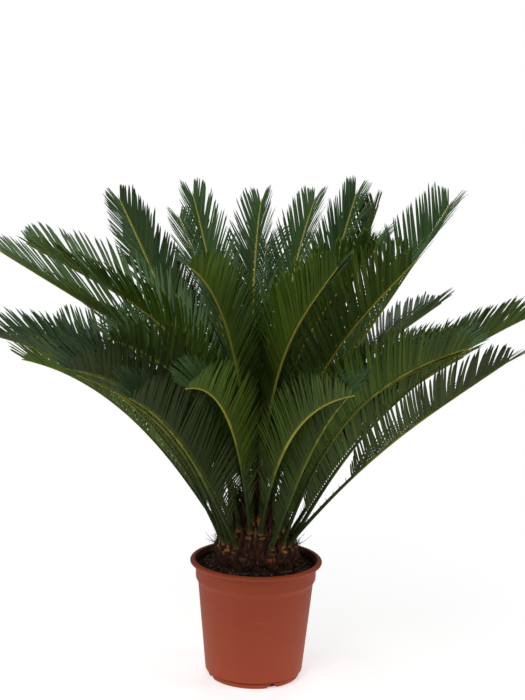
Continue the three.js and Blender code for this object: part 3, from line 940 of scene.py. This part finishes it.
def make_crumbs():
    """Crumbs of peat, chips of bark and a few pale grains of perlite on the soil."""
    rng = np.random.default_rng(21)
    tones = [(0.006, 0.004, 0.003), (0.016, 0.009, 0.006), (0.046, 0.026, 0.016), (0.12, 0.070, 0.042)]
    tones += [(0.25, 0.16, 0.10), (0.38, 0.30, 0.22)]
    heap = Heap()
    wall = COLLAR_RADIUS - POT_WALL - 4
    count = 2600
    places = on_soil(count, rng, TRUNK_RADIUS - 8, wall, 0.2)
    sizes = rng.lognormal(0.75, 0.42, count)[:, None] * rng.uniform(0.6, 1.3, (count, 3)) * MM
    sizes = np.clip(sizes, 0.001, 0.0065)
    tints = rng.choice(4, count, p=[0.44, 0.33, 0.16, 0.07])
    grains(heap, places, sizes, tints, spun(count, rng))
    count = 420
    places = on_soil(count, rng, TRUNK_RADIUS - 4, wall - 2, 1.2)
    spans = ((4, 10), (1.4, 3), (0.6, 1.2))
    sizes = np.stack([rng.uniform(least, most, count) for least, most in spans], 1) * MM
    turns = spun(count, rng)
    turns[:, 2] = turns[:, 2] * 0.45
    grains(heap, places, sizes, rng.choice([2, 3, 4], count, p=[0.5, 0.35, 0.15]), turns)
    count = 20
    places = on_soil(count, rng, TRUNK_RADIUS - 4, wall - 2, 1.4)
    grains(heap, places, rng.uniform(1.4, 3.2, (count, 3)) * MM, np.full(count, 5), spun(count, rng))
    crumbs = heap.piece("soil_crumbs", plain_tones("soil_crumb", tones, 0.95, 0.2), smooth=False)
    belongs(crumbs, "potting_soil", "soil")


# ---------------------------------------------------------------- trunk, leaf bases and bud


TRUNK_OUTLINE = [
    (0.97, 0), (1, 0.14), (0.97, 0.3), (0.9, 0.43), (0.78, 0.56),
    (0.65, 0.68), (0.52, 0.79), (0.38, 0.9), (0.22, 0.97), (0, 1),
]


def trunk_reach(height):
    """The trunk's radius at a height above the pot's foot, both in millimetres."""
    radii, shares = zip(*TRUNK_OUTLINE)
    return TRUNK_RADIUS * np.interp((height - SOIL_AT_TRUNK) / TRUNK_HEIGHT, shares, radii)


def bark():
    """Dark brown, fibrous bark, drawn out upwards."""
    paint = Paint("trunk_bark", Roughness=0.95, Specular_IOR_Level=0.15)
    threads = paint.noise(120, detail=6, stretch=(1, 1, 0.22), roughness=0.6)
    patches = paint.noise(40, detail=3)
    dark, brown, tan = rgb(0.012, 0.006, 0.004), rgb(0.085, 0.036, 0.022), rgb(0.12, 0.05, 0.025)
    colour = paint.between(threads.past(0.35, 2.6), dark, brown)
    colour = paint.between(patches.past(0.55, 3), colour, tan)
    paint.set("Base Color", colour)
    paint.bump(threads, 0.9, 0.004)
    return paint.material


def make_trunk():
    """The squat stem, swollen in staggered rows where its leaf bases sit, with a rough skin."""
    rings, buried = 54, 6
    heights = [SOIL_AT_TRUNK - buried + (TRUNK_HEIGHT + buried) * k / rings for k in range(rings)]
    profile = [(0, SOIL_AT_TRUNK - buried)]
    profile += [(float(trunk_reach(height)), height) for height in heights]
    profile += [(0, SOIL_AT_TRUNK + TRUNK_HEIGHT)]
    form = turned(profile, sides=150)
    for corner in form.verts:
        spot = corner.co / MM
        reach = math.hypot(spot.x, spot.y)
        if reach > 2:
            turn = math.atan2(spot.y, spot.x)
            row = (spot.z - SOIL_AT_TRUNK) / SWELLING_ROW
            around = math.cos(SWELLINGS * turn + math.pi * row)
            swell = TRUNK_SWELL * around * abs(math.sin(math.pi * row / 2 + 0.6))
            rough = noise.noise(Vector((spot.x, spot.y, spot.z * 0.4)) * 0.22) * 1.8
            grown = 1 + (swell + rough - 1.5) / reach
            corner.co.x *= grown
            corner.co.y *= grown
    trunk = piece_from(form, "trunk_relief", [bark()], smooth=True)
    belongs(trunk, "trunk_bark", "trunk")


BASE_TONES = [
    (0.022, 0.009, 0.006), (0.060, 0.023, 0.014), (0.12, 0.050, 0.028), (0.30, 0.065, 0.022),
    (0.38, 0.15, 0.034), (0.27, 0.155, 0.038), (0.075, 0.070, 0.018), (0.034, 0.050, 0.009),
]
DARK, BROWN, TAN, RUST, ORANGE, YELLOW, OLIVE, GREEN = range(8)
BASE_SIDES = 12

# The heading and height of the cut ends that are still rusty.
RUSTY_STUBS = [(291, 238), (219, 243), (24, 240), (107, 236), (168, 241)]


def base_frames(heading, heights, inset):
    """Rings that hug the trunk at one heading, in metres, facing its middle."""
    out = outward(heading)
    middles = places_at(out, trunk_reach(heights) - inset, heights)
    side = np.array([-out[1], out[0], 0])
    return middles, np.tile(side, (len(heights), 1)), np.tile(-out, (len(heights), 1))


def add_leaf_base(heap, whorl, row, rng):
    """The swollen foot of a frond: a shield on the trunk, a yellow collar and the petiole's green foot."""
    drops = np.array([27, 22, 15, 8]) * rng.normal(1, 0.06)
    middles, sides, faces = base_frames(row[0], whorl["height"] - drops, 7)
    shares = np.array([0, 0.012, 0.024, 0.036, 0.07])
    places, _, rib_sides, rib_faces = rib_frames(whorl, row, shares)
    widths = np.array([4, 7, 8.2, 8.8, 9, 7.2, 5.4, 4.5, 4.05]) * MM
    depths = np.array([4, 7, 8.4, 10, 10.4, 8.2, 6.8, 6, 5.4]) * MM
    collar = ORANGE if rng.random() < 0.6 else YELLOW
    # The lowest two stretches take brown, tan and dark at random; the dark is partly painted shade below
    # the base.
    low = rng.choice([BROWN, TAN, DARK], BASE_SIDES)
    spots = np.where(rng.random(BASE_SIDES) < 0.25, TAN, collar)
    brown, olive, green = (np.full(BASE_SIDES, tone) for tone in (BROWN, OLIVE, GREEN))
    tints = [low, low, brown, np.roll(spots, 3), spots, olive, green, green]
    rings = [np.concatenate(pair) for pair in ((middles, places), (sides, rib_sides), (faces, rib_faces))]
    tube(heap, *rings, widths, depths * 0.5, depths, tints, corners=BASE_SIDES)


def add_stub(heap, heading, height, low, rng):
    """What is left of an old frond: a short shield round a closed cut end that is painted dark as shade,
    in place of a hollow.
    """
    heights = height + np.array([-9, -6, -1, 3, 3])
    middles, sides, faces = base_frames(heading, heights, 6)
    middles = middles - faces * (np.array([0, 1, 3, 4, 2]) * MM)[:, None]
    widths = np.array([4, 7.4, 8.8, 7.8, 5.6]) * MM * rng.normal(0.95, 0.08)
    depths = np.array([3, 5, 5.6, 4.6, 3]) * MM
    shades = rng.choice([low, low, BROWN], BASE_SIDES)
    # Painted shade: the cut end is painted dark for the shade of a hollow.
    tints = [shades, shades, shades, np.full(BASE_SIDES, DARK)]
    tube(heap, middles, sides, faces, widths, depths, depths, tints, corners=BASE_SIDES)


def add_scales(heap, places, out, flare, long, wide, tints, rng, thick=1.4, droop=0.0):
    """Felted scale leaves that stand up from their places and lean outwards by flare, in degrees."""
    lean = np.radians(flare)[:, None]
    ahead = unit(UP * np.cos(lean) + out * np.sin(lean) + rng.normal(0, 0.06, out.shape))
    upward = square_to(ahead, out)
    shape = [(0, 0.8), (0.25, 1), (0.55, 0.74), (0.82, 0.36)]
    bend = rng.normal(droop, 0.05, len(places))
    sweep = np.cross(ahead, upward) * rng.normal(0, 0.06, len(places))[:, None]
    long, wide, thick = long * MM, wide * MM, thick * MM
    tints = [(tints, tints)] * len(shape)
    blades(heap, places, ahead, upward, long, wide, thick, shape, bend, sweep, tints)


def spiral(count, rng, first=0.0):
    """Outward directions at headings about a golden angle apart."""
    turn = np.radians(first + np.arange(count) * GOLDEN_ANGLE + rng.normal(0, 4, count))
    return np.stack([np.cos(turn), np.sin(turn), np.zeros(count)], 1)


def strands(heap, places, ahead, bend, long, thick, tints, joints=6):
    """Thin three-sided strands that set out ahead and bend along the given vectors, but never back."""
    back = np.minimum(np.sum(bend * ahead, 1) + 0.4, 0)
    bend = bend - ahead * back[:, None]
    first = unit(np.cross(ahead, bend + UP * 0.013))
    second = unit(np.cross(first, ahead))
    rings = []
    for k in range(joints + 1):
        t = k / joints
        middle = places + (ahead * t + bend * t**2) * long[:, None]
        half = thick * (1 - 0.6 * t) / 2
        for angle in (0, 2 * math.pi / 3, 4 * math.pi / 3):
            rings.append(middle + (first * math.cos(angle) + second * math.sin(angle)) * half)
    faces = [(0, 1, 2), (3 * joints + 2, 3 * joints + 1, 3 * joints)]
    for k in range(joints):
        for a in range(3):
            b = (a + 1) % 3
            faces.append((3 * k + b, 3 * k + a, 3 * k + 3 + a, 3 * k + 3 + b))
    heap.add(np.stack(rings, 1), faces, [tints] * len(faces))


def make_leaf_bases():
    """A base for each frond, five rusty cut ends and fourteen older, browner ones."""
    rng = np.random.default_rng(31)
    heap = Heap()
    for whorl in WHORLS.values():
        for row in whorl["fronds"]:
            add_leaf_base(heap, whorl, row, rng)
    for heading, height in RUSTY_STUBS:
        add_stub(heap, heading, height, RUST, rng)
    for n in range(14):
        add_stub(heap, 9 + n * GOLDEN_ANGLE, 224 + (n % 4) * 5, (BROWN, TAN)[n % 2], rng)
    bases = heap.piece("leaf_bases", plain_tones("leaf_base", BASE_TONES, 0.8, 0.15))
    belongs(bases, "trunk_bark", "trunk")


FELT_TONES = [
    (0.026, 0.010, 0.007), (0.056, 0.021, 0.013), (0.100, 0.037, 0.023),
    (0.17, 0.072, 0.045), (0.27, 0.15, 0.090),
]


def off_leaf_bases(out, height):
    """Which places on the trunk, in millimetres up, lie clear of the fronds' feet."""
    clear = np.ones(len(height), bool)
    for whorl in WHORLS.values():
        for row in whorl["fronds"]:
            apart = out - outward(row[0])
            beside = np.hypot(apart[:, 0], apart[:, 1]) * whorl["radius"]
            above = height - whorl["height"]
            clear &= (beside > 8) | (above > 2) | (above < -24)
    return clear


def make_trunk_scales():
    """Scale leaves between the leaf bases, short and worn low down and long about the crown."""
    rng = np.random.default_rng(41)
    heap = Heap()
    count = 900
    share = (np.arange(count) + 0.5) / count
    out = spiral(count, rng)
    height = SOIL_AT_TRUNK + TRUNK_HEIGHT * mix(-0.02, 0.86, share)
    places = places_at(out, trunk_reach(height) - 2, height)
    long = mix(8, 56, share**2) * rng.normal(1, 0.2, count)
    flare = mix(16, 14, share) + rng.normal(0, 10, count)
    wide = mix(2.6, 6, share) * rng.normal(1, 0.2, count)
    tints = rng.choice(5, count, p=[0.30, 0.34, 0.26, 0.09, 0.01])
    kept = off_leaf_bases(out, height)
    add_scales(heap, places[kept], out[kept], flare[kept], long[kept], wide[kept], tints[kept], rng)
    scales = heap.piece("trunk_scales", plain_tones("scale_felt", FELT_TONES, 0.95, 0.15))
    belongs(scales, "trunk_bark", "trunk")


def make_bud():
    """The bud: a cone of young scale leaves round a plain core."""
    rng = np.random.default_rng(51)
    foot, rise = BUD_FOOT, BUD_TIP - BUD_FOOT
    outline = [(0, 0), (0.8, 0), (0.85, 0.15), (0.7, 0.4), (0.45, 0.65), (0.2, 0.86), (0, 0.97)]
    form = turned([(BUD_RADIUS * r, foot + rise * z) for r, z in outline], sides=40)
    core = piece_from(form, "bud_core", [bark()], smooth=True)
    belongs(core, "bud_felt", "bud")
    heap = Heap()
    count = 110
    share = (np.arange(count) + 0.5) / count
    out = spiral(count, rng, 60)
    radii, shares = zip(*outline[1:])
    reach = BUD_RADIUS * np.interp(share * 0.8, shares, radii)
    height = foot + rise * share * 0.72
    places = places_at(out, reach, height)
    long = np.minimum(mix(46, 30, share) * rng.normal(1, 0.1, count), (BUD_TIP - height) * 1.02)
    flare, wide = mix(4, -14, share), mix(9, 6, share)
    tints = rng.choice(5, count, p=[0.1, 0.3, 0.35, 0.2, 0.05])
    add_scales(heap, places, out, flare, long, wide, tints, rng, droop=0.12)
    scales = heap.piece("bud_scales", plain_tones("bud_felt", FELT_TONES, 0.95, 0.15))
    belongs(scales, "bud_felt", "bud")


def make_fibres():
    """Loose fibres on the trunk and roots that cross the soil."""
    rng = np.random.default_rng(61)
    tones = [(0.06, 0.030, 0.018), (0.14, 0.075, 0.045), (0.26, 0.16, 0.10)]
    heap = Heap()
    count = 1500
    out = spiral(count, rng)
    height = SOIL_AT_TRUNK + TRUNK_HEIGHT * rng.uniform(-0.02, 0.8, count)
    places = places_at(out, trunk_reach(height) + rng.uniform(-1, 5, count), height)
    ahead = unit(out * 0.1 + UP * rng.uniform(-0.8, 1, count)[:, None] + rng.normal(0, 0.55, (count, 3)))
    bend = rng.normal(0, 0.5, (count, 3)) - out * 0.3 - UP * 0.1
    long = np.clip(rng.lognormal(-4.7, 0.45, count), 0.004, 0.018)
    tints = rng.choice(3, count, p=[0.45, 0.4, 0.15])
    strands(heap, places, ahead, bend, long, 0.00055, tints)
    count = 90
    places = on_soil(count, rng, TRUNK_RADIUS, COLLAR_RADIUS - 14, 1.5)
    turn = rng.uniform(0, 2 * np.pi, count)
    ahead = np.stack([np.cos(turn), np.sin(turn), rng.uniform(0, 0.25, count)], 1)
    bend = rng.normal(0, 0.3, (count, 3)) * (1, 1, 0) - UP * 0.25
    reach = np.linalg.norm(places[:, :2] + ahead[:, :2] * 0.03, axis=1)
    long = np.where(reach > 0.095, 0.010, rng.uniform(0.014, 0.034, count))
    tints = rng.choice(3, count, p=[0.2, 0.35, 0.45])
    strands(heap, places, ahead, bend, long, 0.0009, tints)
    count = 22
    out = spiral(count, rng, 20)
    height = rng.uniform(232, 262, count)
    places = places_at(out, trunk_reach(height) - 3, height)
    ahead = unit(out * rng.uniform(0.5, 1.1, count)[:, None] + UP * 0.6 + rng.normal(0, 0.25, (count, 3)))
    bend = UP * rng.uniform(0, 0.5, count)[:, None]
    long = rng.uniform(0.018, 0.034, count)
    strands(heap, places, ahead, bend, long, 0.0016, 0)
    fibres = heap.piece("fibres", plain_tones("fibre", tones, 0.9, 0.2))
    belongs(fibres, "trunk_bark", "trunk")


make_camera()
make_studio()
make_pot()
make_soil()
make_trunk()
make_leaf_bases()
make_trunk_scales()
make_bud()
make_fibres()
make_fronds()
